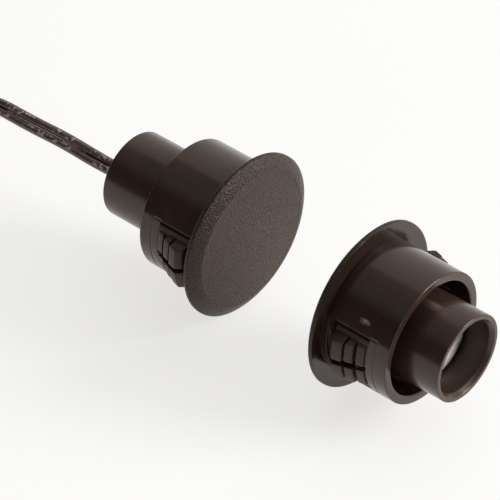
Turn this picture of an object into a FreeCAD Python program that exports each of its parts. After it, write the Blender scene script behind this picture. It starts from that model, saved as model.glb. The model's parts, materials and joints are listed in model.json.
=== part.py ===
import FreeCAD, Part
import math
import os

import Sketcher
from FreeCAD import Placement, Rotation, Vector

# Recessed snap-in door contact, switch half and magnet half on one common axis.
# Row frame: +X from the switch half to the magnet half along the axis, +Z up,
# origin on the surface that both flange rims stand on, midway along the pair.
# Each half is described in its own local frame: local x = s, the distance behind
# the seat plane of the flange; local y = t, sideways; local z = h, outward
# through the middle of a window in the barrel.

os.makedirs("parts", exist_ok=True)
doc = FreeCAD.newDocument("door_contact")

# ---------------------------------------------------------------- dimensions
DIMS = [
    # flange and barrel moulding
    ("flange_radius", 15.8), ("flange_edge", 0.7), ("flange_face_radius", 13.3),
    ("flange_bevel", 2.1), ("flange_crown", 2.35), ("bevel_arc", 7.0),
    ("crown_arc", 354.0), ("seat_inner", 14.85), ("seat_relief", 0.1),
    ("barrel_radius", 12.5), ("barrel_draft", 0.03), ("band_start", 9.6),
    ("barrel_bore", 10.8), ("barrel_length", 13.3),
    ("lip_chamfer", 0.25), ("groove_outer", 8.32), ("groove_inner", 6.78),
    ("groove_depth", 0.8), ("axis_height", 15.8),
    # windows and witness line round each catch pocket
    ("window_start", 0.6), ("window_end", 9.1), ("window_half", 5.9),
    ("line_start", 10.6), ("line_end", 10.78), ("line_radius", 12.38),
    # toothed spring fingers
    ("finger_start", 2.0), ("finger_root", 8.95), ("finger_outer", 12.45),
    ("finger_inner", 11.15), ("finger_slit", 0.25), ("finger_side", 5.4),
    ("tooth_side", 4.5),
    ("tooth_a_front", 2.2), ("tooth_a_crest", 3.3), ("tooth_a_end", 5.0),
    ("tooth_a_low", 13.7), ("tooth_a_high", 14.6), ("tooth_a_rear", 14.1),
    ("tooth_b_front", 5.45), ("tooth_b_end", 6.9), ("tooth_b_high", 13.85),
    ("tooth_b_rear", 13.45), ("tooth_c_front", 7.3), ("tooth_c_end", 8.75),
    ("tooth_c_high", 13.15), ("tooth_c_rear", 12.75),
    ("web_ab", 12.95), ("web_bc", 12.65),
    ("slit_a", 0.35), ("slit_b", 0.6), ("slit_c", 0.4),
    # capsule tubes
    ("tube_radius", 8.27), ("tube_bore", 6.83), ("tube_mouth", 7.55),
    ("tube_chamfer", 0.75), ("tube_lip", 0.25),
    ("switch_tube_end", 26.2), ("magnet_tube_end", 21.1),
    # magnet
    ("magnet_radius", 6.35), ("magnet_length", 15.5), ("adhesive_end", 15.15),
    # reed and its wiring
    ("potting_start", 21.5), ("potting_end", 25.6), ("wire_radius", 0.8),
    ("wire_side", 0.82), ("wire_drop", 1.6), ("core_radius", 0.38),
    ("reed_lead_radius", 0.27), ("glass_radius", 1.3), ("glass_bore", 1.0),
    ("glass_start", 3.0), ("glass_end", 17.0), ("cavity_start", 4.8),
    ("cavity_end", 15.2), ("reed_side", 1.25), ("blade_width", 0.9),
    ("blade_thick", 0.22), ("blade_front_start", 4.95), ("blade_front_end", 10.6),
    ("blade_rear_start", 9.4), ("blade_rear_end", 15.05), ("blade_gap", 0.14),
    ("buffer_radius", 1.62), ("buffer_start", 4.2), ("buffer_end", 15.8),
    ("sleeve_radius", 0.52), ("sleeve_start", 4.0), ("sleeve_end", 15.6),
    ("joint_radius", 0.72), ("joint_start", 18.5), ("joint_mid", 19.2),
    ("joint_end", 19.9), ("core_end", 20.4),
    # spare lead, wound flat in a ring
    ("coil_outer", 13.51), ("coil_inner", 5.6), ("coil_low", 0.32),
    ("coil_high", 3.56), ("coil_notch", 6.95), ("tie_width", 2.4),
    ("tie_thick", 0.3),
    # where each half sits
    ("switch_seat", -11.95), ("magnet_seat", 17.05), ("ear_turn", 94.5),
]
sheet = doc.addObject("Spreadsheet::Sheet", "dims")
for row, (alias, value) in enumerate(DIMS, start=1):
    sheet.set("A%d" % row, alias)
    sheet.set("B%d" % row, repr(value))
    sheet.setAlias("B%d" % row, alias)
doc.recompute()
D = dict((alias, float(getattr(sheet, alias))) for alias, value in DIMS)

parts = []


# ------------------------------------------------------------------- helpers
def e(text):
    """Spreadsheet names in an expression, each with the sheet's own name before it."""
    out, word = "", ""
    for ch in text + " ":
        if ch.isalpha() or ch == "_":
            word += ch
        else:
            out += ("dims." + word) if word in D else word
            word = ""
            out += ch
    return out.strip()


def num(text):
    """The value of a sum or difference of sheet names and numbers."""
    total, sign = 0.0, 1.0
    for token in text.replace("+", " + ").replace("-", " - ").split():
        if token == "+":
            sign = 1.0
        elif token == "-":
            sign = -sign if sign < 0 else -1.0
        else:
            factor = 1.0
            for piece in token.split("*"):
                top = piece.split("/")
                value = D[top[0]] if top[0] in D else float(top[0])
                for under in top[1:]:
                    value /= D[under] if under in D else float(under)
                factor *= value
            total += sign * factor
            sign = 1.0
    return total


def bind(obj, prop, text):
    obj.setExpression(prop, e(text))


def cylinder(name, radius, start, end, y="0", z="0"):
    """Cylinder along local x from start to end."""
    o = doc.addObject("Part::Cylinder", name)
    bind(o, "Radius", radius)
    bind(o, "Height", "%s - (%s)" % (end, start))
    o.Placement = Placement(Vector(0, 0, 0), Rotation(Vector(0, 1, 0), 90))
    bind(o, "Placement.Base.x", start)
    bind(o, "Placement.Base.y", y)
    bind(o, "Placement.Base.z", z)
    return o


def cone(name, radius_start, radius_end, start, end):
    o = doc.addObject("Part::Cone", name)
    bind(o, "Radius1", radius_start)
    bind(o, "Radius2", radius_end)
    bind(o, "Height", "%s - (%s)" % (end, start))
    o.Placement = Placement(Vector(0, 0, 0), Rotation(Vector(0, 1, 0), 90))
    bind(o, "Placement.Base.x", start)
    return o


def box(name, x0, x1, y0, y1, z0, z1):
    o = doc.addObject("Part::Box", name)
    bind(o, "Length", "%s - (%s)" % (x1, x0))
    bind(o, "Width", "%s - (%s)" % (y1, y0))
    bind(o, "Height", "%s - (%s)" % (z1, z0))
    bind(o, "Placement.Base.x", x0)
    bind(o, "Placement.Base.y", y0)
    bind(o, "Placement.Base.z", z0)
    return o


def placed_rod(side, name, radius, start, end, y="0", z="0"):
    """Cylinder of one half, stood straight in the row frame."""
    if side == "magnet":
        return cylinder(name, radius, "magnet_seat+(%s)" % start, "magnet_seat+(%s)" % end,
                        y, "axis_height+(%s)" % z)
    return cylinder(name, radius, "switch_seat-(%s)" % end, "switch_seat-(%s)" % start,
                    "0-(%s)" % y, "axis_height+(%s)" % z)


def cut(name, base, tool):
    o = doc.addObject("Part::Cut", name)
    o.Base, o.Tool = base, tool
    return o


def common(name, a, b):
    o = doc.addObject("Part::Common", name)
    o.Base, o.Tool = a, b
    return o


def fuse(name, shapes):
    o = doc.addObject("Part::MultiFuse", name)
    o.Shapes = shapes
    o.Refine = False
    return o


def feature(name, shape):
    o = doc.addObject("Part::Feature", name)
    o.Shape = shape
    return o


def node(obj, label, side=None, turn=0.0):
    """Name a finished sub-part and stand it in the row frame."""
    obj.Label = label
    if side == "magnet":
        obj.Placement = Placement(Vector(0, 0, 0), Rotation(Vector(1, 0, 0), turn))
        bind(obj, "Placement.Base.x", "magnet_seat")
        bind(obj, "Placement.Base.z", "axis_height")
    elif side == "switch":
        turned = Rotation(Vector(1, 0, 0), turn).multiply(Rotation(Vector(0, 0, 1), 180))
        obj.Placement = Placement(Vector(0, 0, 0), turned)
        bind(obj, "Placement.Base.x", "switch_seat")
        bind(obj, "Placement.Base.z", "axis_height")
    parts.append(obj)
    return obj


def plane(body, role):
    return [f for f in body.Origin.OriginFeatures if f.Role == role][0]


def turned_body(name, points, bulges=()):
    """PartDesign body: a closed half profile of (s, r) corners turned about local x.
    bulges maps the index of a side to (arc radius name, third point)."""
    body = doc.addObject("PartDesign::Body", name)
    sk = body.newObject("Sketcher::SketchObject", name + "_profile")
    sk.AttachmentSupport = [(plane(body, "XZ_Plane"), "")]
    sk.MapMode = "FlatFace"
    values = [(num(s), num(r)) for s, r in points]
    bulges = dict(bulges)
    ends = []
    for i, (s, r) in enumerate(values):
        s2, r2 = values[(i + 1) % len(values)]
        a, b = Vector(s, r, 0), Vector(s2, r2, 0)
        if i in bulges:
            m = Vector(bulges[i][1][0], bulges[i][1][1], 0)
            g = sk.addGeometry(Part.Arc(a, m, b), False)
            start = sk.getPoint(g, 1)
            ends.append((g, 1, 2) if (start - a).Length < 1e-6 else (g, 2, 1))
        else:
            g = sk.addGeometry(Part.LineSegment(a, b), False)
            ends.append((g, 1, 2))
    for i in range(len(values)):
        g, _, last = ends[i]
        g2, first, _ = ends[(i + 1) % len(values)]
        sk.addConstraint(Sketcher.Constraint("Coincident", g, last, g2, first))
    for i, (s, r) in enumerate(points):
        g, first, _ = ends[i]
        for kind, text, value in (("DistanceX", s, values[i][0]), ("DistanceY", r, values[i][1])):
            if abs(value) < 1e-9:
                axis = -2 if kind == "DistanceX" else -1
                sk.addConstraint(Sketcher.Constraint("PointOnObject", g, first, axis))
            else:
                c = sk.addConstraint(Sketcher.Constraint(kind, -1, 1, g, first, value))
                sk.setExpression("Constraints[%d]" % c, e(text))
    for i, (arc, _) in bulges.items():
        c = sk.addConstraint(Sketcher.Constraint("Radius", ends[i][0], D[arc]))
        sk.setExpression("Constraints[%d]" % c, e(arc))
    doc.recompute()
    rev = body.newObject("PartDesign::Revolution", name + "_turn")
    rev.Profile = sk
    rev.ReferenceAxis = (sk, ["H_Axis"])
    rev.Angle = 360
    doc.recompute()
    return body


# -------------------------------------------- flange and barrel, one moulding
def arc_middle(p, q, radius, side):
    """Point halfway along the shallow arc from p to q, bulging to the given side."""
    mx, my = (p[0] + q[0]) / 2, (p[1] + q[1]) / 2
    dx, dy = q[0] - p[0], q[1] - p[1]
    half = math.hypot(dx, dy) / 2
    sag = radius - math.sqrt(radius * radius - half * half)
    nx, ny = dy / (2 * half), -dx / (2 * half)
    return (mx + side * sag * nx, my + side * sag * ny)


def collar(side):
    profile = [
        ("0-flange_crown", "0"),
        ("0-flange_bevel", "flange_face_radius"),
        ("0-flange_edge", "flange_radius"),
        ("0", "flange_radius"),
        ("0", "seat_inner"),
        ("0-seat_relief", "seat_inner-seat_relief"),
        ("0-seat_relief", "barrel_radius+barrel_draft"),
        ("band_start", "barrel_radius"),
        ("barrel_length-lip_chamfer", "barrel_radius"),
        ("barrel_length", "barrel_radius-lip_chamfer"),
        ("barrel_length", "barrel_bore+lip_chamfer"),
        ("barrel_length-lip_chamfer", "barrel_bore"),
        ("0", "barrel_bore"),
        ("0", "groove_outer"),
        ("0-groove_depth", "groove_outer"),
        ("0-groove_depth", "groove_inner"),
        ("0", "groove_inner"),
        ("0", "0"),
    ]
    crown = (-D["flange_crown"], 0.0)
    edge = (-D["flange_bevel"], D["flange_face_radius"])
    rim = (-D["flange_edge"], D["flange_radius"])
    bulges = {
        0: ("crown_arc", arc_middle(crown, edge, D["crown_arc"], -1)),
        1: ("bevel_arc", arc_middle(edge, rim, D["bevel_arc"], -1)),
    }
    body = turned_body(side + "_collar_turned", profile, bulges)
    window = box(side + "_window", "window_start", "window_end",
                 "0-window_half", "window_half", "0-14", "14")
    ring = cut(side + "_line_ring",
               cylinder(side + "_line_out", "barrel_radius+0.5", "line_start", "line_end"),
               cylinder(side + "_line_in", "line_radius", "line_start-0.1", "line_end+0.1"))
    line = common(side + "_line", ring,
                  box(side + "_line_span", "line_start-1", "line_end+1",
                      "0-window_half", "window_half", "0-14", "14"))
    cutter = fuse(side + "_collar_cutter", [window, line])
    final = cut(side + "_collar_solid", body, cutter)
    return node(final, side + "_collar", side, D["ear_turn"])


# ----------------------------------------------- one toothed spring finger
def finger(side, sign, turn, label):
    """sign +1 is the finger on the local +y half of the window, -1 on the -y half."""
    n = label

    def span(name, x0, x1, near, far):
        if sign > 0:
            return box(name, x0, x1, near, far, "0", "16")
        return box(name, x0, x1, "0-%s" % far, "0-%s" % near, "0", "16")

    leaf = common(
        n + "_leaf",
        cut(n + "_leaf_ring",
            cylinder(n + "_leaf_out", "finger_outer", "finger_start", "finger_root"),
            cylinder(n + "_leaf_in", "finger_inner", "finger_start-1", "finger_root+1")),
        span(n + "_leaf_span", "finger_start", "finger_root", "finger_slit", "finger_side"))
    base_a = cylinder(n + "_web_a", "web_ab", "tooth_a_front", "tooth_b_front")
    base_b = cylinder(n + "_web_b", "web_bc", "tooth_b_front", "tooth_c_end")
    web = common(
        n + "_web",
        cut(n + "_web_ring", fuse(n + "_web_disc", [base_a, base_b]),
            cylinder(n + "_web_in", "finger_inner+0.3", "0", "finger_root+1")),
        span(n + "_web_span", "0", "finger_root", "slit_b", "tooth_side-0.05"))
    teeth = []
    for key, pieces, slit in (
        ("a", [("tooth_a_low", "tooth_a_high", "tooth_a_front", "tooth_a_crest"),
               ("tooth_a_high", "tooth_a_rear", "tooth_a_crest", "tooth_a_end")], "slit_a"),
        ("b", [("tooth_b_high", "tooth_b_rear", "tooth_b_front", "tooth_b_end")], "slit_b"),
        ("c", [("tooth_c_high", "tooth_c_rear", "tooth_c_front", "tooth_c_end")], "slit_c"),
    ):
        cones = [cone("%s_cone_%s%d" % (n, key, i), *c) for i, c in enumerate(pieces)]
        solid = cones[0] if len(cones) == 1 else fuse("%s_cones_%s" % (n, key), cones)
        ring = cut("%s_ring_%s" % (n, key), solid,
                   cylinder("%s_core_%s" % (n, key), "finger_inner+0.3", "0", "finger_root+1"))
        teeth.append(common("%s_tooth_%s" % (n, key), ring,
                            span("%s_span_%s" % (n, key), "0", "finger_root", slit, "tooth_side")))
    whole = fuse(n + "_solid", [leaf, web] + teeth)
    return node(whole, label, side, turn)


# ---------------------------------------------------------- capsule tube
def tube(side, end):
    profile = [
        ("0-groove_depth", "tube_bore"),
        ("0-groove_depth", "tube_radius"),
        ("%s-tube_lip" % end, "tube_radius"),
        (end, "tube_radius-tube_lip"),
        (end, "tube_mouth"),
        ("%s-tube_chamfer" % end, "tube_bore"),
    ]
    return node(turned_body(side + "_tube_turned", profile), side + "_tube", side)


for side in ("switch", "magnet"):
    collar(side)
    tube(side, side + "_tube_end")
    for place, turn in (("front", D["ear_turn"]), ("back", D["ear_turn"] + 180)):
        for sign in (1, -1):
            # local +y points up on the magnet half's front window and on the switch
            # half's back window
            up = (sign > 0) == ((side == "magnet") == (place == "front"))
            finger(side, sign, turn,
                   "%s_catch_%s_%s" % (side, place, "upper" if up else "lower"))

# ------------------------------------------------------ magnet and its bond
node(placed_rod("magnet", "magnet_disc", "magnet_radius", "0", "magnet_length"), "magnet")
node(cut("magnet_bond",
         cylinder("magnet_bond_out", "tube_bore", "0", "adhesive_end"),
         cylinder("magnet_bond_in", "magnet_radius", "0-1", "adhesive_end+1")),
     "magnet_adhesive", "magnet")

# ----------------------------------------------- resin plug and wire tails
DROP = "0-wire_drop"
plug = cut("potting_plug",
           cylinder("potting_disc", "tube_bore", "potting_start", "potting_end"),
           fuse("potting_holes", [
               cylinder("potting_hole_a", "wire_radius", "potting_start-1", "potting_end+1", "0-wire_side", DROP),
               cylinder("potting_hole_b", "wire_radius", "potting_start-1", "potting_end+1", "wire_side", DROP)]))
node(plug, "potting_compound", "switch")
# the row frame's +y wire is lead a; local y is turned over in the switch half
for key, ly in (("a", "0-wire_side"), ("b", "wire_side")):
    node(placed_rod("switch", "tail_" + key, "wire_radius", "core_end", "potting_end", ly, DROP),
         "lead_tail_" + key)
    node(placed_rod("switch", "core_" + key, "core_radius", "joint_mid", "core_end", ly, DROP),
         "lead_core_" + key)
    blob = fuse("joint_blob_" + key, [
        cone("joint_taper_front_" + key, "joint_radius*0.55", "joint_radius", "joint_start", "joint_start+0.35"),
        cylinder("joint_body_" + key, "joint_radius", "joint_start+0.35", "joint_end-0.35"),
        cone("joint_taper_rear_" + key, "joint_radius", "joint_radius*0.65", "joint_end-0.35", "joint_end")])
    blob.Placement = Placement(Vector(0, num(ly), num(DROP)), Rotation())
    holes = fuse("joint_holes_" + key, [
        cylinder("joint_lead_hole_" + key, "reed_lead_radius", "joint_start-1", "joint_mid", ly, DROP),
        cylinder("joint_core_hole_" + key, "core_radius", "joint_mid", "joint_end+1", ly, DROP)])
    node(cut("joint_" + key, blob, holes), "solder_joint_" + key, "switch")

# ------------------------------------------------------------- reed capsule
# The glass lies beside the tube's middle, at local y = +reed_side; the folded-back
# lead runs at local y = -reed_side.
capsule = turned_body("reed_glass_turned", [
    ("glass_start", "reed_lead_radius"),
    ("glass_start+0.15", "0.8"),
    ("glass_start+0.7", "glass_radius"),
    ("glass_end-0.7", "glass_radius"),
    ("glass_end-0.15", "0.8"),
    ("glass_end", "reed_lead_radius"),
    ("cavity_end", "reed_lead_radius"),
    ("cavity_end-0.5", "glass_bore"),
    ("cavity_start+0.5", "glass_bore"),
    ("cavity_start", "reed_lead_radius"),
])
node(capsule, "reed_glass", "switch")
bind(capsule, "Placement.Base.y", "0-reed_side")
bind(capsule, "Placement.Base.z", "axis_height-wire_drop")

Y = "reed_side"
node(cut("buffer", cylinder("buffer_out", "buffer_radius", "buffer_start", "buffer_end", Y, DROP),
         cylinder("buffer_in", "glass_radius", "buffer_start-1", "buffer_end+1", Y, DROP)),
     "reed_buffer_sleeve", "switch")
node(box("blade_front", "switch_seat-blade_front_end", "switch_seat-blade_front_start",
         "0-reed_side-blade_width/2", "0-reed_side+blade_width/2",
         "axis_height-wire_drop+blade_gap/2", "axis_height-wire_drop+blade_gap/2+blade_thick"),
     "reed_blade_front")
node(box("blade_rear", "switch_seat-blade_rear_end", "switch_seat-blade_rear_start",
         "0-reed_side-blade_width/2", "0-reed_side+blade_width/2",
         "axis_height-wire_drop-blade_gap/2-blade_thick", "axis_height-wire_drop-blade_gap/2"),
     "reed_blade_rear")


def swept(name, points, radius_name, fraction=0.45):
    """A round rod along straight runs joined by tangent arcs."""
    pts = [Vector(*p) for p in points]
    edges, at = [], pts[0]
    smallest = None
    for i in range(1, len(pts) - 1):
        a, b = pts[i - 1] - pts[i], pts[i + 1] - pts[i]
        shorter = min(a.Length, b.Length)
        a.normalize()
        b.normalize()
        turn = math.pi - a.getAngle(b)
        back = fraction * shorter
        radius = back / math.tan(turn / 2)
        smallest = radius if smallest is None else min(smallest, radius)
        p, q = pts[i] + a * back, pts[i] + b * back
        middle = (a + b)
        middle.normalize()
        m = pts[i] + middle * (radius / math.cos(turn / 2) - radius)
        edges.append(Part.LineSegment(at, p).toShape())
        edges.append(Part.Arc(p, m, q).toShape())
        at = q
    edges.append(Part.LineSegment(at, pts[-1]).toShape())
    path = Part.Wire(edges)
    spine = feature(name + "_spine", path)
    ring = doc.addObject("Part::Circle", name + "_section")
    bind(ring, "Radius", radius_name)
    way = pts[1] - pts[0]
    ring.Placement = Placement(pts[0], Rotation(Vector(0, 0, 1), way))
    sweep = doc.addObject("Part::Sweep", name)
    sweep.Sections = [ring]
    sweep.Spine = (spine, ["Edge%d" % (i + 1) for i in range(len(edges))])
    sweep.Solid = True
    sweep.Frenet = False
    doc.recompute()
    expected = math.pi * D[radius_name] ** 2 * path.Length
    print("%s: length %.2f mm, smallest radius %s mm, volume %.4f of section times length" % (
        name, path.Length, "%.2f" % smallest if smallest else "-", sweep.Shape.Volume / expected))
    return sweep


H = -D["wire_drop"]
R = D["reed_side"]
W = D["wire_side"]
# front lead: out of the glass, round a U turn and back along the glass
node(swept("reed_lead_front_rod", [
    (4.9, R, H), (1.25, R, H), (1.25, -R, H), (16.4, -R, H), (17.6, -W, H), (D["joint_mid"], -W, H)],
    "reed_lead_radius"), "reed_lead_front", "switch")
node(swept("reed_lead_rear_rod", [
    (15.1, R, H), (17.3, R, H), (18.0, W, H), (D["joint_mid"], W, H)],
    "reed_lead_radius"), "reed_lead_rear", "switch")
node(cut("lead_sleeve_solid",
         cylinder("lead_sleeve_out", "sleeve_radius", "sleeve_start", "sleeve_end", "0-reed_side", DROP),
         cylinder("lead_sleeve_in", "reed_lead_radius", "sleeve_start-1", "sleeve_end+1", "0-reed_side", DROP)),
     "lead_sleeve", "switch")

# ---------------------------------------- free leads, in the row frame, in mm
Z0 = D["axis_height"] - D["wire_drop"]
X0 = D["switch_seat"] - D["potting_end"]
ROUTE_A = [(X0, 0.82, Z0), (-46.0, 0.82, 14.02), (-55.0, 0.84, 14.45), (-64.0, 0.84, 13.75),
           (-73.0, 0.82, 13.35), (-81.5, 0.8, 10.3), (-88.5, 0.6, 5.5), (-95.0, 0.3, 2.1),
           (-101.5, 0.0, 1.12)]
ROUTE_B = [(X0, -0.82, Z0), (-46.0, -0.82, 14.08), (-55.0, -0.8, 14.45), (-64.0, -0.8, 13.85),
           (-73.0, -0.82, 13.7), (-81.5, -0.78, 11.6), (-88.5, -0.55, 7.3), (-95.0, -0.3, 3.8),
           (-101.5, 0.0, 2.76)]
node(swept("lead_wire_a_rod", ROUTE_A, "wire_radius"), "lead_wire_a")
node(swept("lead_wire_b_rod", ROUTE_B, "wire_radius"), "lead_wire_b")

# spare length: a flat ring on the standing surface, its first turn met at the
# ring's +y side by the leads running along -x
CX, CY = -101.5, -12.71


def upright(name, radius, low, high):
    o = doc.addObject("Part::Cylinder", name)
    bind(o, "Radius", radius)
    bind(o, "Height", "%s - (%s)" % (high, low))
    o.Placement = Placement(Vector(CX, CY, 0), Rotation())
    bind(o, "Placement.Base.z", low)
    return o


coil_ring = cut("coil_ring", upright("coil_out", "coil_outer", "coil_low", "coil_high"),
                upright("coil_in", "coil_inner", "coil_low-1", "coil_high+1"))
notch_disc = upright("coil_notch_disc", "coil_notch", "coil_low-1", "coil_high+1")
wedge = doc.addObject("Part::Cylinder", "coil_notch_wedge")
wedge.Radius = 14
wedge.Height = 8
wedge.Angle = 62
wedge.Placement = Placement(Vector(CX, CY, -1), Rotation(Vector(0, 0, 1), 36))
node(cut("coil_solid", coil_ring, common("coil_notch_cut", notch_disc, wedge)), "lead_coil")

# a tie round the ring's section, its head on the outside
TIE_ANGLE = 250.0
tie = fuse("tie_band", [
    cut("tie_loop",
        box("tie_out", "4.75", "coil_outer+0.45", "0-tie_width/2", "tie_width/2", "0", "coil_high+tie_thick+0.02"),
        box("tie_in", "5.05", "coil_outer+0.12", "0-tie_width", "tie_width", "coil_low-0.01", "coil_high+0.01")),
    box("tie_head", "coil_outer+0.45", "coil_outer+2.6", "0-1.9", "1.9", "0.6", "3.4"),
])
tie.Placement = Placement(Vector(CX, CY, 0), Rotation(Vector(0, 0, 1), TIE_ANGLE))
node(tie, "coil_tie")

# stripped ends of the two leads, inside the ring
END = math.radians(36.0)
r_end = 6.4
start = Vector(CX + r_end * math.cos(END), CY + r_end * math.sin(END), 0)
way = Vector(-math.sin(END), math.cos(END), 0) * math.cos(math.radians(25)) + \
    Vector(-math.cos(END), -math.sin(END), 0) * math.sin(math.radians(25))
for key, z in (("a", 1.12), ("b", 2.76)):
    rod = doc.addObject("Part::Cylinder", "wire_end_rod_" + key)
    bind(rod, "Radius", "core_radius")
    rod.Height = 4.9
    rod.Placement = Placement(start + Vector(0, 0, z) - way * 0.3, Rotation(Vector(0, 0, 1), way))
    node(rod, "wire_end_" + key)

# ------------------------------------------------------------ check and write
doc.recompute()
bad = [o.Name for o in doc.Objects if "Invalid" in o.State or "Error" in o.State]
if bad:
    raise SystemExit("failed objects: %s" % bad)
for o in parts:
    shape = o.Shape
    if shape.isNull() or not shape.isValid() or not shape.Solids:
        raise SystemExit("bad shape: %s" % o.Label)
for name in os.listdir("parts"):
    if name.endswith(".step"):
        os.remove(os.path.join("parts", name))
for o in parts:
    o.Shape.exportStep("parts/%s.step" % o.Label)
    b = o.Shape.BoundBox
    print("%-28s solids %d vol %9.3f  x %.2f..%.2f y %.2f..%.2f z %.2f..%.2f" % (
        o.Label, len(o.Shape.Solids), o.Shape.Volume, b.XMin, b.XMax, b.YMin, b.YMax, b.ZMin, b.ZMax))
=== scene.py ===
import json
import math

import bmesh
import bpy
import numpy as np
from mathutils import Matrix, Vector


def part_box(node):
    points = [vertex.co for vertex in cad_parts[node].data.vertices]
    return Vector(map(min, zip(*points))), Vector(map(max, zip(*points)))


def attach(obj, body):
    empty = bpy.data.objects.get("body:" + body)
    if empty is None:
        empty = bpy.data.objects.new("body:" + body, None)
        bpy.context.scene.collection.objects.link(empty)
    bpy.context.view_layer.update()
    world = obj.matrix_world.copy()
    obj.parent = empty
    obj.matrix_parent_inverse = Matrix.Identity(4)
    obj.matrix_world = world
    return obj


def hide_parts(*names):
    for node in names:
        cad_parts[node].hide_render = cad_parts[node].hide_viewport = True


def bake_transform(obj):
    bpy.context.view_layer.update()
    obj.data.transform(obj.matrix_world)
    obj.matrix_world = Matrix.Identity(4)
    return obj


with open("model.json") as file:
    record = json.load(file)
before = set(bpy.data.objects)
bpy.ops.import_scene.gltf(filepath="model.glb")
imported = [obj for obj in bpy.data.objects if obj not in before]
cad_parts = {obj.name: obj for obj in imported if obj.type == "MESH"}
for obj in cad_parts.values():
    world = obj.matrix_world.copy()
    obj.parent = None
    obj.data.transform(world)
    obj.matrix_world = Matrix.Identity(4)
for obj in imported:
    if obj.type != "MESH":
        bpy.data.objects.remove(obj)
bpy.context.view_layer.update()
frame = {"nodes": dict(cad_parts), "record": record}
nodes = frame["nodes"]
record = frame["record"]
MM = 0.001

# ----------------------------------------------------------------- camera
CAM = Vector((0.27107, -0.32343, 0.37269))
FWD = Vector((-0.50288, 0.57792, -0.64274)).normalized()
UP = Vector((-0.42192, 0.48487, 0.76608)).normalized()
RIGHT = FWD.cross(UP).normalized()
UP = RIGHT.cross(FWD).normalized()
cam_data = bpy.data.cameras.new("camera")
cam_data.sensor_width = 36.0
cam_data.lens = 228.6
cam_data.clip_start = 0.01
cam_data.clip_end = 50.0
cam = bpy.data.objects.new("camera", cam_data)
bpy.context.scene.collection.objects.link(cam)
cam.matrix_world = Matrix((
    (RIGHT.x, UP.x, -FWD.x, CAM.x),
    (RIGHT.y, UP.y, -FWD.y, CAM.y),
    (RIGHT.z, UP.z, -FWD.z, CAM.z),
    (0, 0, 0, 1)))
bpy.context.scene.camera = cam

# -------------------------------------------- where the CAD says things are
AXIS_H = (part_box("switch_tube")[0].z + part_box("switch_tube")[1].z) / 2 / MM
TUBE_R = (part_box("switch_tube")[1].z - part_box("switch_tube")[0].z) / 2 / MM
SEAT_S = -11.95
SEAT_M = 17.05
TURN = math.radians(94.5)


def half_matrix(side, turn=0.0):
    seat = SEAT_S if side == "switch" else SEAT_M
    m = Matrix.Translation((seat, 0, AXIS_H)) @ Matrix.Rotation(turn, 4, "X")
    if side == "switch":
        m = m @ Matrix.Rotation(math.pi, 4, "Z")
    return m


# ----------------------------------------------------------- mesh helpers
def mesh_object(name, verts, faces, smooth=True):
    """Object from points in millimetres in the row frame."""
    me = bpy.data.meshes.new(name)
    me.from_pydata([tuple(v) for v in verts], [], faces)
    me.validate()
    me.update()
    ob = bpy.data.objects.new(name, me)
    bpy.context.scene.collection.objects.link(ob)
    if smooth:
        for p in me.polygons:
            p.use_smooth = True
    return ob


def to_metres(ob, matrix=None):
    """Apply the half's matrix (mm) and scale to metres."""
    m = Matrix.Scale(MM, 4)
    if matrix is not None:
        m = m @ matrix
    ob.data.transform(m)
    if m.determinant() < 0:
        ob.data.flip_normals()
    ob.data.update()
    return ob


def apply_modifiers(ob):
    dg = bpy.context.evaluated_depsgraph_get()
    new = bpy.data.meshes.new_from_object(ob.evaluated_get(dg), preserve_all_data_layers=True, depsgraph=dg)
    old = ob.data
    ob.modifiers.clear()
    ob.data = new
    bpy.data.meshes.remove(old)
    return ob


def outward(ob):
    bm = bmesh.new()
    bm.from_mesh(ob.data)
    bmesh.ops.recalc_face_normals(bm, faces=bm.faces)
    bm.to_mesh(ob.data)
    bm.free()
    ob.data.update()
    return ob


def smooth_by_angle(ob, degrees=35.0):
    """Smooth faces, with edges sharper than the angle kept crisp."""
    me = ob.data
    bm = bmesh.new()
    bm.from_mesh(me)
    limit = math.radians(degrees)
    for f in bm.faces:
        f.smooth = True
    for edge in bm.edges:
        if len(edge.link_faces) == 2:
            edge.smooth = edge.calc_face_angle(0.0) <= limit
        else:
            edge.smooth = False
    bm.to_mesh(me)
    bm.free()
    me.update()
    return ob


def round_corners(points, arc_step=12.0):
    """Open polyline of (s, r, radius) with its inner corners rounded."""
    out = []
    n = len(points)
    for i, (x, y, rad) in enumerate(points):
        if rad <= 0 or i in (0, n - 1):
            out.append((x, y))
            continue
        p = Vector((x, y))
        a = Vector(points[i - 1][:2]) - p
        b = Vector(points[i + 1][:2]) - p
        la, lb = a.length, b.length
        a.normalize()
        b.normalize()
        ang = a.angle(b)
        back = min(rad / math.tan(ang / 2), 0.48 * la, 0.48 * lb)
        r = back * math.tan(ang / 2)
        bis = (a + b).normalized()
        centre = p + bis * (r / math.sin(ang / 2))
        start, end = p + a * back, p + b * back
        v0, v1 = start - centre, end - centre
        total = v0.angle_signed(v1)
        steps = max(2, int(math.ceil(abs(math.degrees(total)) / arc_step)))
        for k in range(steps + 1):
            t = -total * k / steps
            c, s = math.cos(t), math.sin(t)
            v = Vector((v0.x * c - v0.y * s, v0.x * s + v0.y * c))
            out.append((centre.x + v.x, centre.y + v.y))
    return out


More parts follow.
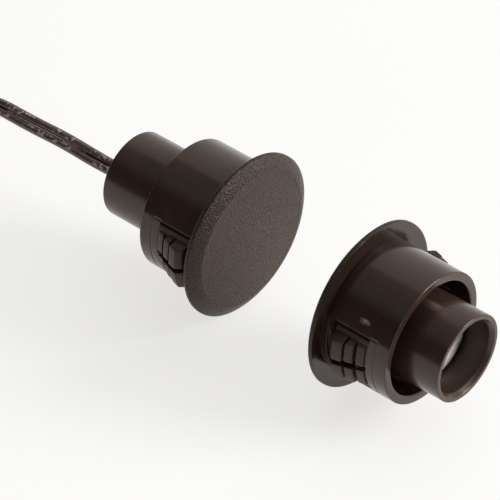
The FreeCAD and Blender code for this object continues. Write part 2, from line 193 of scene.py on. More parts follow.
def lathe(name, profile, segments=160, closed=True):
    """Solid of revolution about local x from a closed loop of (s, r); a point at r = 0 is a pole."""
    verts, rings = [], []
    for s, r in profile:
        if r < 1e-6:
            rings.append([len(verts)])
            verts.append((s, 0.0, 0.0))
        else:
            ring = []
            for k in range(segments):
                a = 2 * math.pi * k / segments
                ring.append(len(verts))
                verts.append((s, r * math.sin(a), r * math.cos(a)))
            rings.append(ring)
    faces = []
    pairs = [(i, i + 1) for i in range(len(rings) - 1)]
    if closed:
        pairs.append((len(rings) - 1, 0))
    for i, j in pairs:
        a, b = rings[i], rings[j]
        if len(a) == 1 and len(b) == 1:
            continue
        for k in range(segments):
            k2 = (k + 1) % segments
            if len(a) == 1:
                faces.append((a[0], b[k2], b[k]))
            elif len(b) == 1:
                faces.append((a[k], a[k2], b[0]))
            else:
                faces.append((a[k], a[k2], b[k2], b[k]))
    ob = mesh_object(name, verts, faces)
    outward(ob)
    return ob


# -------------------------------------------------------------- materials
class Nodes:
    """Small shader-graph writer."""

    def __init__(self, name):
        self.mat = bpy.data.materials.new(name)
        self.mat.use_nodes = True
        self.t = self.mat.node_tree
        self.t.nodes.clear()
        self.out = self.t.nodes.new("ShaderNodeOutputMaterial")
        self.bsdf = self.t.nodes.new("ShaderNodeBsdfPrincipled")
        self.t.links.new(self.bsdf.outputs[0], self.out.inputs[0])
        self.coord = self.t.nodes.new("ShaderNodeTexCoord")

    def link(self, a, b):
        self.t.links.new(a, b)

    def mapping(self, scale=(1, 1, 1), location=(0, 0, 0), rotation=(0, 0, 0), source="Object"):
        m = self.t.nodes.new("ShaderNodeMapping")
        m.inputs["Scale"].default_value = scale
        m.inputs["Location"].default_value = location
        m.inputs["Rotation"].default_value = rotation
        self.link(self.coord.outputs[source], m.inputs["Vector"])
        return m.outputs[0]

    def noise(self, scale, detail=3.0, rough=0.5, vector=None, distortion=0.0):
        n = self.t.nodes.new("ShaderNodeTexNoise")
        n.inputs["Scale"].default_value = scale
        n.inputs["Detail"].default_value = detail
        n.inputs["Roughness"].default_value = rough
        n.inputs["Distortion"].default_value = distortion
        self.link(vector if vector is not None else self.coord.outputs["Object"], n.inputs["Vector"])
        return n.outputs["Fac"]

    def voronoi(self, scale, feature="F1", vector=None, randomness=1.0):
        n = self.t.nodes.new("ShaderNodeTexVoronoi")
        n.feature = feature
        n.inputs["Scale"].default_value = scale
        n.inputs["Randomness"].default_value = randomness
        self.link(vector if vector is not None else self.coord.outputs["Object"], n.inputs["Vector"])
        return n

    def ramp(self, fac, stops):
        r = self.t.nodes.new("ShaderNodeValToRGB")
        el = r.color_ramp.elements
        while len(el) < len(stops):
            el.new(0.5)
        for item, (pos, col) in zip(el, stops):
            item.position = pos
            item.color = (*col, 1.0) if len(col) == 3 else col
        self.link(fac, r.inputs["Fac"])
        return r.outputs["Color"]

    def mapr(self, fac, a, b, c, d, clamp=True):
        m = self.t.nodes.new("ShaderNodeMapRange")
        m.clamp = clamp
        m.inputs["From Min"].default_value = a
        m.inputs["From Max"].default_value = b
        m.inputs["To Min"].default_value = c
        m.inputs["To Max"].default_value = d
        self.link(fac, m.inputs["Value"])
        return m.outputs["Result"]

    def math(self, op, a, b=None, c=None):
        m = self.t.nodes.new("ShaderNodeMath")
        m.operation = op
        for i, v in enumerate((a, b, c)):
            if v is None:
                continue
            if isinstance(v, (int, float)):
                m.inputs[i].default_value = v
            else:
                self.link(v, m.inputs[i])
        return m.outputs[0]

    def mix(self, fac, a, b, blend="MIX"):
        m = self.t.nodes.new("ShaderNodeMix")
        m.data_type = "RGBA"
        m.blend_type = blend
        m.clamp_factor = True
        if isinstance(fac, (int, float)):
            m.inputs[0].default_value = fac
        else:
            self.link(fac, m.inputs[0])
        for i, v in ((6, a), (7, b)):
            if isinstance(v, tuple):
                m.inputs[i].default_value = (*v, 1.0) if len(v) == 3 else v
            else:
                self.link(v, m.inputs[i])
        return m.outputs[2]

    def bump(self, height, strength, distance, normal=None):
        b = self.t.nodes.new("ShaderNodeBump")
        b.inputs["Strength"].default_value = strength
        b.inputs["Distance"].default_value = distance
        self.link(height, b.inputs["Height"])
        if normal is not None:
            self.link(normal, b.inputs["Normal"])
        return b.outputs[0]

    def separate(self, vector):
        s = self.t.nodes.new("ShaderNodeSeparateXYZ")
        self.link(vector, s.inputs[0])
        return s.outputs

    def set(self, name, value):
        if isinstance(value, (int, float, tuple)):
            self.bsdf.inputs[name].default_value = value
        else:
            self.link(value, self.bsdf.inputs[name])


def radius_from_axis(g):
    """Distance from the common axis, in metres."""
    x, y, z = g.separate(g.coord.outputs["Object"])
    dz = g.math("SUBTRACT", z, AXIS_H * MM)
    return x, g.math("SQRT", g.math("ADD", g.math("MULTIPLY", y, y), g.math("MULTIPLY", dz, dz)))


def abs_plastic(name, dark, light, rough_low, rough_high, speck=0.0, ior=1.49):
    """Brown moulded ABS: slow colour drift, faint flow lines along the part, fine bloom in the gloss."""
    g = Nodes(name)
    drift = g.noise(95.0, 3.0, 0.55)
    fine = g.noise(900.0, 2.0, 0.6)
    flow = g.noise(60.0, 4.0, 0.6, vector=g.mapping((6.0, 1.0, 1.0)), distortion=0.4)
    col = g.mix(g.mapr(drift, 0.3, 0.7, 0.0, 1.0), dark, light)
    col = g.mix(g.mapr(flow, 0.45, 0.75, 0.0, 0.35), col, tuple(c * 1.25 for c in light))
    col = g.mix(g.mapr(fine, 0.62, 0.85, 0.0, 0.25), col, tuple(c * 1.5 for c in light))
    if speck:
        # pale rubbed flecks, sparse
        v = g.voronoi(520.0)
        near = g.mapr(v.outputs["Distance"], 0.0, 0.11, 1.0, 0.0)
        sparse = g.mapr(g.noise(170.0, 2.0), 0.60, 0.70, 0.0, 1.0)
        col = g.mix(g.math("MULTIPLY", g.math("MULTIPLY", near, sparse), speck), col, (0.34, 0.29, 0.26))
    g.set("Base Color", col)
    rough = g.mapr(g.math("ADD", g.math("MULTIPLY", drift, 0.6), g.math("MULTIPLY", fine, 0.4)),
                   0.35, 0.65, rough_low, rough_high)
    g.set("Roughness", rough)
    g.set("IOR", ior)
    g.set("Specular Tint", (1.0, 0.87, 0.80, 1.0))
    wave = g.noise(150.0, 2.0, 0.5, vector=g.mapping((0.35, 1.0, 1.0)))
    n = g.bump(wave, 0.22, 0.00010)
    n = g.bump(fine, 0.10, 0.00002, n)
    g.set("Normal", n)
    return g


BROWN_DARK = (0.0325, 0.0170, 0.0125)
BROWN_LIGHT = (0.0425, 0.0228, 0.0172)


def collar_material():
    """Smooth satin barrel; the flange's front, bevel and rim carry a spark-eroded grain."""
    g = abs_plastic("collar_abs", BROWN_DARK, BROWN_LIGHT, 0.115, 0.20, speck=0.5)
    t = g.t
    col = g.bsdf.inputs["Base Color"].links[0].from_socket
    # the pale scrape on the magnet barrel, longest along the axis
    sc = t.nodes.new("ShaderNodeVectorMath")
    sc.operation = "DISTANCE"
    g.link(g.mapping((0.45, 1.0, 1.0)), sc.inputs[0])
    sc.inputs[1].default_value = (0.02408 * 0.45, -0.01034, 0.02282)
    near = g.mapr(sc.outputs["Value"], 0.00025, 0.00062, 1.0, 0.0)
    torn = g.mapr(g.noise(1900.0, 3.0, 0.7, vector=g.mapping((0.40, 1.0, 1.0))), 0.40, 0.54, 0.1, 1.0)
    col = g.mix(g.math("MULTIPLY", near, g.math("MULTIPLY", torn, 0.95)), col, (0.34, 0.28, 0.24))
    # a fine crease on the rear of the magnet half's flange, below the catch, drawn only as a near-black line of painted
    # shade
    x, y, z = g.separate(g.coord.outputs["Object"])
    dy = g.math("SUBTRACT", y, -0.014134)
    dz = g.math("SUBTRACT", z, 0.008816)
    off = g.math("ABSOLUTE", g.math("SUBTRACT", g.math("MULTIPLY", dz, 0.983), g.math("MULTIPLY", dy, 0.184)))
    run = g.math("ADD", g.math("MULTIPLY", dy, 0.983), g.math("MULTIPLY", dz, 0.184))
    line = g.math("MULTIPLY", g.mapr(off, 0.00004, 0.00009, 1.0, 0.0), g.mapr(run, -0.0002, 0.0001, 0.0, 1.0))
    line = g.math("MULTIPLY", line, g.mapr(run, 0.0019, 0.0023, 1.0, 0.0))
    line = g.math("MULTIPLY", line, g.mapr(g.math("ABSOLUTE", g.math("SUBTRACT", x, 0.01700)), 0.0002, 0.0003, 1.0, 0.0))
    col = g.mix(g.math("MULTIPLY", line, 0.85), col, (0.004, 0.002, 0.0015))
    # painted shade: the magnet half's flange rear is painted darker than the barrel, standing in for the shade and dark
    # reflection it gets beside the barrel
    seat = g.mapr(g.math("ABSOLUTE", g.math("SUBTRACT", x, 0.01695)), 0.00030, 0.00060, 1.0, 0.0)
    col = g.mix(g.math("MULTIPLY", seat, 0.55), col, (0.0100, 0.0062, 0.0048))
    g.set("Base Color", col)
    return g.mat


def grain_material():
    """Spark-eroded grain of the flange's front, bevel and rim: packed craters of two sizes."""
    g = Nodes("flange_grain")
    v1 = g.voronoi(3600.0, "SMOOTH_F1")
    v1.inputs["Smoothness"].default_value = 0.45
    v2 = g.noise(5600.0, 2.0, 0.6)
    v3 = g.noise(2100.0, 2.0, 0.5)
    drift = g.noise(120.0, 3.0, 0.6)
    h = g.math("ADD", g.math("MULTIPLY", v1.outputs["Distance"], 0.85),
               g.math("ADD", g.math("MULTIPLY", v2, 0.40), g.math("MULTIPLY", v3, 0.60)))
    rim, radius = radius_from_axis(g)
    bevel = g.mapr(radius, 0.01270, 0.01385, 0.0, 1.0)
    h = g.math("MULTIPLY", h, g.mapr(bevel, 0.0, 1.0, 0.55, 1.0))
    g.set("Normal", g.bump(h, 1.0, 0.00013))
    g.set("Roughness", g.mapr(v2, 0.35, 0.65, 0.60, 0.24))
    pits = g.noise(4100.0, 1.0, 0.5)
    col = g.mix(g.mapr(v3, 0.36, 0.66, 0.0, 1.0), (0.032, 0.0180, 0.0130), (0.044, 0.0260, 0.0195))
    col = g.mix(g.mapr(drift, 0.35, 0.7, 0.0, 0.5), col, (0.044, 0.0275, 0.0212))
    col = g.mix(g.mapr(pits, 0.30, 0.43, 0.85, 0.0), col, (0.012, 0.0070, 0.0052))
    col = g.mix(g.mapr(pits, 0.59, 0.69, 0.0, 0.85), col, (0.110, 0.0730, 0.0600))
    # painted shade: the bevel band's base colour is darkened
    col = g.mix(g.math("MULTIPLY", bevel, 0.45), col, (0.0150, 0.0105, 0.0068))
    g.set("Base Color", col)
    g.set("IOR", 1.38)
    g.set("Specular Tint", (1.0, 0.86, 0.79, 1.0))
    return g.mat


MAT = {}
MAT["collar"] = collar_material()
MAT["grain"] = grain_material()
MAT["catch"] = abs_plastic("catch_abs", (0.032, 0.0168, 0.0125), (0.044, 0.0236, 0.0180), 0.36, 0.50, speck=0.7, ior=1.42).mat


def tube_material():
    g = abs_plastic("tube_abs", tuple(c * 1.15 for c in BROWN_DARK), tuple(c * 1.15 for c in BROWN_LIGHT), 0.17, 0.28, speck=0.25)
    # a dull rubbed streak on top of the magnet half's tube, painted pale: partly wear, partly a painted highlight where
    # light falls on the tube's top
    col = g.bsdf.inputs["Base Color"].links[0].from_socket
    rub_and_highlight = g.t.nodes.new("ShaderNodeVectorMath")
    rub_and_highlight.operation = "DISTANCE"
    g.link(g.mapping((0.36, 1.0, 1.0)), rub_and_highlight.inputs[0])
    rub_and_highlight.inputs[1].default_value = (0.03150 * 0.36, -0.00060, 0.02405)
    near = g.mapr(rub_and_highlight.outputs["Value"], 0.0002, 0.00120, 1.0, 0.0)
    worn = g.mapr(g.noise(1500.0, 3.0, 0.6, vector=g.mapping((0.25, 1.0, 1.0))), 0.38, 0.62, 0.15, 1.0)
    col = g.mix(g.math("MULTIPLY", near, g.math("MULTIPLY", worn, 0.85)), col, (0.200, 0.140, 0.110))
    # painted shade in the bore behind the magnet: its base colour is darkened towards near-black inside the recess, and
    # its roughness raised
    x, radius = radius_from_axis(g)
    inside = g.math("MULTIPLY", g.mapr(radius, 0.00695, 0.00715, 1.0, 0.0), g.mapr(x, 0.0310, 0.0318, 0.0, 1.0))
    bore_shade_amount = g.mapr(g.noise(420.0, 3.0, 0.6), 0.35, 0.65, 0.25, 0.65)
    col = g.mix(g.math("MULTIPLY", inside, bore_shade_amount), col, (0.0100, 0.0068, 0.0045))
    g.set("Base Color", col)
    rough = g.bsdf.inputs["Roughness"].links[0].from_socket
    g.set("Roughness", g.math("ADD", rough, g.math("MULTIPLY", inside, 0.16)))
    return g.mat


MAT["tube"] = tube_material()


def simple(name, colour, rough, metal=0.0, bump=0.1, scale=1500.0, spread=0.25, ior=1.5, **extra):
    g = Nodes(name)
    n1 = g.noise(scale, 3.0)
    n2 = g.noise(scale * 0.17, 2.0)
    low = tuple(c * (1 - spread) for c in colour)
    high = tuple(min(1.0, c * (1 + spread)) for c in colour)
    g.set("Base Color", g.mix(g.mapr(g.math("ADD", g.math("MULTIPLY", n1, 0.4), g.math("MULTIPLY", n2, 0.6)),
                                     0.35, 0.65, 0.0, 1.0), low, high))
    g.set("Roughness", g.mapr(n2, 0.3, 0.7, rough * 0.8, min(1.0, rough * 1.25)))
    g.set("Metallic", metal)
    g.set("IOR", ior)
    g.set("Normal", g.bump(n1, bump, 0.00003))
    for k, v in extra.items():
        g.set(k, v)
    return g.mat


MAT["resin"] = simple("potting_resin", (0.020, 0.0115, 0.0095), 0.12, bump=0.05, scale=260.0)
MAT["bond"] = simple("magnet_bond", (0.115, 0.080, 0.060), 0.18, bump=0.08, scale=420.0)
MAT["silicone"] = simple("silicone", (0.55, 0.55, 0.52), 0.38, bump=0.05)
MAT["steel"] = simple("reed_alloy", (0.56, 0.54, 0.50), 0.22, metal=1.0, bump=0.08, scale=4000.0)
MAT["sleeve"] = simple("sleeve_plastic", (0.70, 0.69, 0.64), 0.42)
MAT["solder"] = simple("solder", (0.62, 0.62, 0.61), 0.2, metal=1.0, bump=0.2, scale=1800.0)
MAT["copper"] = simple("copper_strand", (0.78, 0.56, 0.42), 0.25, metal=1.0, bump=0.1, scale=5000.0)
MAT["nylon"] = simple("tie_nylon", (0.62, 0.60, 0.53), 0.36, bump=0.1, scale=900.0)


def plating_material():
    """Satin plating, darkened brown towards the magnet's edge by painted shade."""
    g = Nodes("magnet_metal")
    fine = g.noise(3500.0, 3.0)
    slow = g.noise(600.0, 2.0)
    x, radius = radius_from_axis(g)
    # painted shade: the magnet darkens to brown towards its edge, along a wobbly boundary
    wander = g.math("ADD", radius, g.math("MULTIPLY", g.math("SUBTRACT", g.noise(380.0, 3.0, 0.6), 0.5), 0.0022))
    edge_shade = g.mapr(wander, 0.0045, 0.0065, 0.0, 0.88)
    col = g.mix(g.mapr(slow, 0.35, 0.65, 0.0, 1.0), (0.80, 0.75, 0.70), (0.88, 0.83, 0.78))
    g.set("Base Color", g.mix(edge_shade, col, (0.085, 0.060, 0.045)))
    g.set("Roughness", g.mapr(slow, 0.3, 0.7, 0.42, 0.60))
    g.set("Metallic", 0.25)
    g.set("IOR", 1.5)
    g.set("Normal", g.bump(fine, 0.12, 0.00003))
    return g.mat


MAT["plating"] = plating_material()


def glass_material():
    g = Nodes("reed_glass_clear")
    g.set("Base Color", g.mix(g.mapr(g.noise(400.0), 0.3, 0.7, 0.0, 1.0), (0.80, 0.90, 0.84), (0.88, 0.95, 0.90)))
    g.set("Roughness", g.mapr(g.noise(900.0), 0.3, 0.7, 0.01, 0.05))
    g.set("Transmission Weight", 1.0)
    g.set("IOR", 1.5)
    return g.mat


MAT["glass"] = glass_material()


def wire_material(name, shift):
    """Reddish brown PVC with broken rows of short pale ink dashes along the side that lies outwards."""
    g = Nodes(name)
    x, y, _ = g.separate(g.coord.outputs["Object"])
    base = g.mix(g.mapr(g.noise(700.0, 3.0, 0.6), 0.3, 0.7, 0.0, 1.0), (0.068, 0.0300, 0.0235), (0.115, 0.0560, 0.0450))
    # distance along the lead: x on the free run, arc length on the wound turns
    dx = g.math("SUBTRACT", x, COIL_X * MM)
    dy = g.math("SUBTRACT", y, COIL_Y * MM)
    arc = g.math("MULTIPLY", g.math("ARCTAN2", dy, dx), 0.010)
    wound = g.mapr(x, -0.0895, -0.0885, 1.0, 0.0)
    run = g.t.nodes.new("ShaderNodeMix")
    g.link(wound, run.inputs[0])
    g.link(x, run.inputs[2])
    g.link(arc, run.inputs[3])
    along = g.math("ADD", run.outputs[0], shift)
    normal = g.coord.outputs["Normal"]

    def across(v):
        d = g.t.nodes.new("ShaderNodeVectorMath")
        d.operation = "DOT_PRODUCT"
        g.link(normal, d.inputs[0])
        d.inputs[1].default_value = v
        return d.outputs["Value"]

    facing = across((0.0, -0.50, 0.866))
    sideways = across((0.0, 0.866, 0.50))
    comb = g.t.nodes.new("ShaderNodeCombineXYZ")
    g.link(g.math("MULTIPLY", along, 1150.0), comb.inputs[0])
    g.link(g.math("MULTIPLY", sideways, 0.9), comb.inputs[1])
    ticks = g.t.nodes.new("ShaderNodeTexNoise")
    ticks.inputs["Scale"].default_value = 1.0
    ticks.inputs["Detail"].default_value = 0.0
    g.link(comb.outputs[0], ticks.inputs["Vector"])
    gaps = g.t.nodes.new("ShaderNodeTexNoise")
    gaps.inputs["Scale"].default_value = 1.0
    gaps.inputs["Detail"].default_value = 0.0
    comb2 = g.t.nodes.new("ShaderNodeCombineXYZ")
    g.link(g.math("MULTIPLY", along, 170.0), comb2.inputs[0])
    g.link(comb2.outputs[0], gaps.inputs["Vector"])
    ink = g.mapr(ticks.outputs["Fac"], 0.55, 0.60, 0.0, 0.8)
    ink = g.math("MULTIPLY", ink, g.mapr(gaps.outputs["Fac"], 0.43, 0.47, 0.0, 1.0))
    strip = g.math("MULTIPLY", g.mapr(facing, 0.80, 0.84, 0.0, 1.0), g.mapr(sideways, 0.50, 0.56, 1.0, 0.0))
    wear = g.mapr(g.noise(5200.0, 2.0, 0.7), 0.35, 0.55, 0.35, 1.0)
    ink = g.math("MULTIPLY", g.math("MULTIPLY", ink, strip), wear)
    g.set("Base Color", g.mix(ink, base, (0.62, 0.57, 0.53)))
    g.set("Roughness", g.mapr(g.noise(1500.0), 0.3, 0.7, 0.30, 0.44))
    g.set("IOR", 1.52)
    g.set("Specular IOR Level", 0.80)
    g.set("Normal", g.bump(g.noise(520.0, 2.0), 0.10, 0.00006))
    return g.mat


COIL_X, COIL_Y = -101.5, -12.71
MAT["wire_a"] = wire_material("lead_insulation_a", 0.0)
MAT["wire_b"] = wire_material("lead_insulation_b", 0.37)


def dress(ob, mat):
    ob.data.materials.clear()
    ob.data.materials.append(mat)
    return ob


# --------------------------------------------------------------- collars
W_HALF = 5.9
WIN0, WIN1 = 0.6, 9.1
R_OUT, R_IN = 12.5, 10.8
A_OUT = math.degrees(math.asin(W_HALF / R_OUT))
A_IN = math.degrees(math.asin(W_HALF / R_IN))


def column_angles():
    """Column angles in degrees on the outer wall over one half turn, from one window's middle to the next."""
    near = [A_OUT * x for x in (0, 0.125, 0.25, 0.375, 0.5, 0.625, 0.75, 0.86, 0.94, 0.98)] + [A_OUT]
    mid = []
    n = 26
    for k in range(1, n + 1):
        mid.append(A_OUT + (90 - A_OUT) * (k / n) ** 1.0)
    # extra columns just outside the window's side, for its witness line
    mid = [A_OUT + 0.45, A_OUT + 1.0] + mid
    quarter = sorted(set(near + mid))
    half = quarter + [180 - a for a in reversed(quarter[:-1])]
    full = half + [a + 180 for a in half[1:-1]]
    return full


COLS = column_angles()


def inner_angle(a):
    """Matching angle on the inner wall, so that a window's sides are flat and parallel."""
    b = a % 180
    flip = b > 90
    if flip:
        b = 180 - b
    if b <= A_OUT:
        c = math.degrees(math.asin(min(1.0, R_OUT * math.sin(math.radians(b)) / R_IN)))
    else:
        c = A_IN + (90 - A_IN) * (b - A_OUT) / (90 - A_OUT)
    if flip:
        c = 180 - c
    return a - (a % 180) + c


def collar(side):
    # outer run from the front pole to the seat, then the barrel's outer wall, lip, inner wall, floor, groove
    front = []
    Rc = (13.3 ** 2 + 0.25 ** 2) / (2 * 0.25)
    for k in range(0, 19):
        r = 13.05 * math.sin(math.pi / 2 * k / 18) if k < 18 else 13.05
        front.append((-(2.35 - (Rc - math.sqrt(Rc * Rc - r * r))), r))
    # soft break into the convex bevel, then the thin rim
    a0, a1 = Vector((-2.1, 13.3)), Vector((-0.7, 15.8))
    chord = a1 - a0
    out_n = Vector((-chord.y, chord.x)).normalized()
    bow = 7.0 - math.sqrt(49.0 - (chord.length / 2) ** 2)
    bevel_arc = []
    for k in range(1, 13):
        f = k / 13
        h = (f - 0.5) * chord.length
        sag = math.sqrt(49.0 - h * h) - 7.0 + bow
        q = a0 + chord * f + out_n * sag
        bevel_arc.append((q.x, q.y))
    path = front + [(-2.102, 13.18), (-2.098, 13.26), (-2.085, 13.34)] + bevel_arc + [
        (-0.74, 15.755), (-0.66, 15.785), (-0.50, 15.798), (-0.34, 15.8), (-0.20, 15.795), (-0.09, 15.765), (-0.02, 15.71),
        (0.0, 15.62), (-0.01, 15.3), (-0.03, 14.75), (-0.05, 14.20), (-0.07, 13.50), (-0.085, 13.0),
        (-0.095, 12.5), (0.10, 12.5), (0.30, 12.5)]
    outer_rows = [0.6, 0.68, 0.8, 1.4, 2.4, 3.4, 4.4, 5.4, 6.4, 7.4, 8.2, 8.8, 8.98, 9.1]
    band = [9.2, 9.35, 9.8, 10.25, 10.5, 10.58, 10.64, 10.70, 10.76, 10.84, 11.0, 11.6, 12.2, 12.8, 13.02]
    lip_o = [(13.19, 12.492), (13.24, 12.465), (13.275, 12.425), (13.295, 12.375), (13.3, 12.31)]
    lip_i = [(13.3, 11.15), (13.29, 11.03), (13.25, 10.93), (13.18, 10.86), (13.08, 10.815), (12.9, 10.8)]
    inner_band = [12.0, 11.0, 10.0, 9.35]
    floor = [(0.45, 10.8), (0.2, 10.77), (0.06, 10.68), (0.0, 10.5), (0.0, 9.4), (0.0, 8.5), (-0.02, 8.36), (-0.1, 8.32),
             (-0.7, 8.32), (-0.78, 8.28), (-0.8, 8.2), (-0.8, 6.9), (-0.78, 6.82), (-0.7, 6.78), (-0.1, 6.78),
             (-0.03, 6.75), (0.0, 6.68), (0.0, 3.4), (0.0, 0.0)]
    rows = [(s, r, "f") for s, r in path]
    rows += [(s, R_OUT, "o") for s in outer_rows]
    rows += [(s, R_OUT, "o") for s in band]
    rows += [(s, r, "o") for s, r in lip_o]
    rows += [(s, r, "i") for s, r in lip_i]
    rows += [(s, R_IN, "i") for s in inner_band]
    rows += [(s, R_IN, "i") for s in reversed(outer_rows)]
    rows += [(s, r, "i") for s, r in floor]
    verts, index = [], []
    for s, r, kind in rows:
        if r < 1e-6:
            index.append([len(verts)])
            verts.append((s, 0.0, 0.0))
            continue
        ring = []
        for a in COLS:
            ang = math.radians(inner_angle(a) if kind == "i" else a)
            rr, ss = r, s
            off = abs(((a + 90) % 180) - 90)
            # witness line of the catch pocket: across behind the window and up its sides
            if kind == "o" and abs(r - R_OUT) < 1e-6:
                if 10.57 < s < 10.77 and off <= A_OUT + 0.5:
                    rr = r - (0.10 if 10.63 < s < 10.71 else 0.035)
                elif 9.15 < s < 10.6 and A_OUT + 0.2 < off < A_OUT + 0.7:
                    rr = r - 0.07
            ring.append(len(verts))
            verts.append((ss, rr * math.sin(ang), rr * math.cos(ang)))
        index.append(ring)
    faces, weights = [], {}
    n = len(COLS)

    def in_window(col):
        a = (COLS[col] + (COLS[(col + 1) % n] if col + 1 < n else 360.0)) / 2
        off = abs(((a + 90) % 180) - 90)
        return off < A_OUT

    def is_window_row(i):
        s0, r0, k0 = rows[i]
        s1, r1, k1 = rows[i + 1]
        return k0 == k1 and k0 in "oi" and abs(r0 - r1) < 1e-9 and min(s0, s1) >= WIN0 - 1e-9 and max(s0, s1) <= WIN1 + 1e-9

    for i in range(len(rows) - 1):
        a, b = index[i], index[i + 1]
        for k in range(n):
            k2 = (k + 1) % n
            if is_window_row(i) and in_window(k):
                continue
            if len(a) == 1:
                faces.append((a[0], b[k2], b[k]))
            elif len(b) == 1:
                faces.append((a[k], a[k2], b[0]))
            else:
                faces.append((a[k], a[k2], b[k2], b[k]))
    # the windows' flat sides and ends
    o_rows = [i for i, (s, r, kd) in enumerate(rows) if kd == "o" and abs(r - R_OUT) < 1e-9 and WIN0 - 1e-9 <= s <= WIN1 + 1e-9]
    i_rows = [i for i, (s, r, kd) in enumerate(rows) if kd == "i" and abs(r - R_IN) < 1e-9 and WIN0 - 1e-9 <= s <= WIN1 + 1e-9][::-1]
    rim = []
    for k in range(n):
        k2 = (k + 1) % n
        left, right = in_window((k - 1) % n), in_window(k)
        if left != right:
            for p in range(len(o_rows) - 1):
                oa, ob_ = index[o_rows[p]][k], index[o_rows[p + 1]][k]
                ia, ib = index[i_rows[p]][k], index[i_rows[p + 1]][k]
                faces.append((oa, ob_, ib, ia))
                rim.append((oa, ob_))
        if right:
            for p in (0, len(o_rows) - 1):
                oa, ob_ = index[o_rows[p]][k], index[o_rows[p]][k2]
                ia, ib = index[i_rows[p]][k], index[i_rows[p]][k2]
                faces.append((oa, ob_, ib, ia))
                rim.append((oa, ob_))
    ob = mesh_object(side + "_collar_moulding", verts, faces)
    # small radius on the windows' outer edges
    bm = bmesh.new()
    bm.from_mesh(ob.data)
    bm.verts.ensure_lookup_table()
    bmesh.ops.recalc_face_normals(bm, faces=bm.faces)
    keys = set(tuple(sorted(p)) for p in rim)
    edges = [e for e in bm.edges if tuple(sorted((e.verts[0].index, e.verts[1].index))) in keys]
    bmesh.ops.bevel(bm, geom=edges, offset=0.045, segments=2, profile=0.5, affect="EDGES", clamp_overlap=True)
    bmesh.ops.recalc_face_normals(bm, faces=bm.faces)
    bm.to_mesh(ob.data)
    bm.free()
    ob.data.update()
    to_metres(ob, half_matrix(side, TURN))
    smooth_by_angle(ob, 38)
    dress(ob, MAT["collar"])
    ob.data.materials.append(MAT["grain"])
    seat = (SEAT_S if side == "switch" else SEAT_M) * MM
    way = -1.0 if side == "switch" else 1.0
    for p in ob.data.polygons:
        c = p.center
        s = (c.x - seat) * way / MM
        r = math.hypot(c.y, c.z - AXIS_H * MM) / MM
        if (s < -0.11 and r > 13.0) or (s < -1.2 and r <= 13.0):
            p.material_index = 1
    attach(ob, side + "_half")
    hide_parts(side + "_collar")
    return ob


# ---------------------------------------------------------------- catches
def slab(profile_top, profile_bottom, t_edges):
    """Closed block: outer and inner (s, r) curves, swept over flat slices at each t (with per-slice side draft)."""
    verts, faces = [], []
    n = len(profile_top)
    for t, drop in t_edges:
        for s, r in profile_top:
            rr = r - drop
            verts.append((s, t, math.sqrt(max(rr * rr - t * t, 0.01))))
        for s, r in profile_bottom:
            verts.append((s, t, math.sqrt(max(r * r - t * t, 0.01))))
    m = 2 * n
    loop = list(range(n)) + [n + k for k in reversed(range(n))]
    for j in range(len(t_edges) - 1):
        a, b = j * m, (j + 1) * m
        for k in range(len(loop)):
            p, q = loop[k], loop[(k + 1) % len(loop)]
            faces.append((a + p, a + q, b + q, b + p))
    for j, flip in ((0, False), (len(t_edges) - 1, True)):
        base = j * m
        for k in range(n - 1):
            f = (base + k, base + k + 1, base + n + k + 1, base + n + k)
            faces.append(tuple(reversed(f)) if flip else f)
    return verts, faces


def slices(t0, t1, count, taper=0.0, edge=0.0):
    out = []
    for k in range(count + 1):
        out.append((t0 + (t1 - t0) * k / count, 0.0))
    return out


def bevelled(verts, faces, width, segments=2, angle=30):
    bm = bmesh.new()
    vs = [bm.verts.new(v) for v in verts]
    for f in faces:
        try:
            bm.faces.new([vs[i] for i in f])
        except ValueError:
            pass
    bmesh.ops.recalc_face_normals(bm, faces=bm.faces)
    if width > 0:
        edges = [e for e in bm.edges if len(e.link_faces) == 2 and e.calc_face_angle(0) > math.radians(angle)]
        bmesh.ops.bevel(bm, geom=edges, offset=width, segments=segments, profile=0.5, affect="EDGES", clamp_overlap=True)
    bmesh.ops.recalc_face_normals(bm, faces=bm.faces)
    return bm


